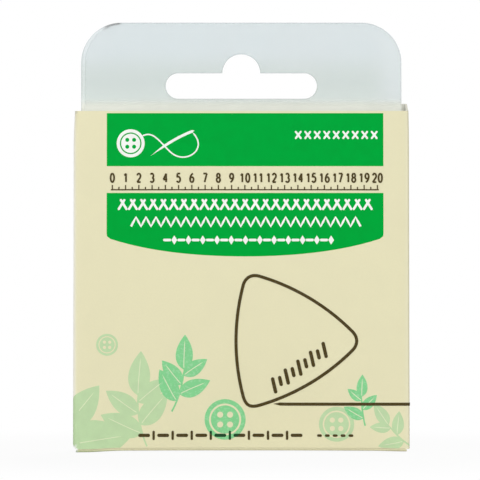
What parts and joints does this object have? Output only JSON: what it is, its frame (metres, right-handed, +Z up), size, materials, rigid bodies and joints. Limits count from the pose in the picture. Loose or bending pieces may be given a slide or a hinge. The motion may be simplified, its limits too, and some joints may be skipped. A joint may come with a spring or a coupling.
{
  "type": "tailors chalk",
  "caption": "Triangular tailors chalk in a snap-shut clear case with a hanging tab, sleeved in an open-topped card carton with a tuck-in bottom.",
  "frame": {"origin": "under the middle of the carton, on the surface it stands on", "axes": "+Z up through the hang tab, front of the pack towards -Y, +X to the right seen from the front"},
  "size_m": [0.0706, 0.0104, 0.0906],
  "materials": {
    "carton_card": "satin",
    "card_inside": "matte",
    "clear_plastic": "satin",
    "pressed_chalk": "matte"
  },
  "bodies": {
    "carton": {"front_panel": "carton_card", "back_panel": "carton_card", "left_side_panel": "carton_card", "right_side_panel": "carton_card", "glue_flap": "card_inside", "left_dust_flap": "carton_card", "right_dust_flap": "carton_card"},
    "case": {"case_back": "clear_plastic", "case_front": "clear_plastic", "case_hinge": "clear_plastic", "chalk": "pressed_chalk"},
    "bottom_flap": {"closing_flap": "carton_card", "tuck_tongue": "carton_card"}
  },
  "joints": [
    {"name": "case_slide", "type": "slide", "parent": "carton", "child": "case", "axis": [0, 0, 1], "range_m": [0, 0.075]},
    {"name": "bottom_flap_hinge", "type": "hinge", "parent": "carton", "child": "bottom_flap", "pos_m": [0, -0.00502, 0.00052], "axis": [-1, 0, 0], "range_deg": [0, 110]}
  ]
}
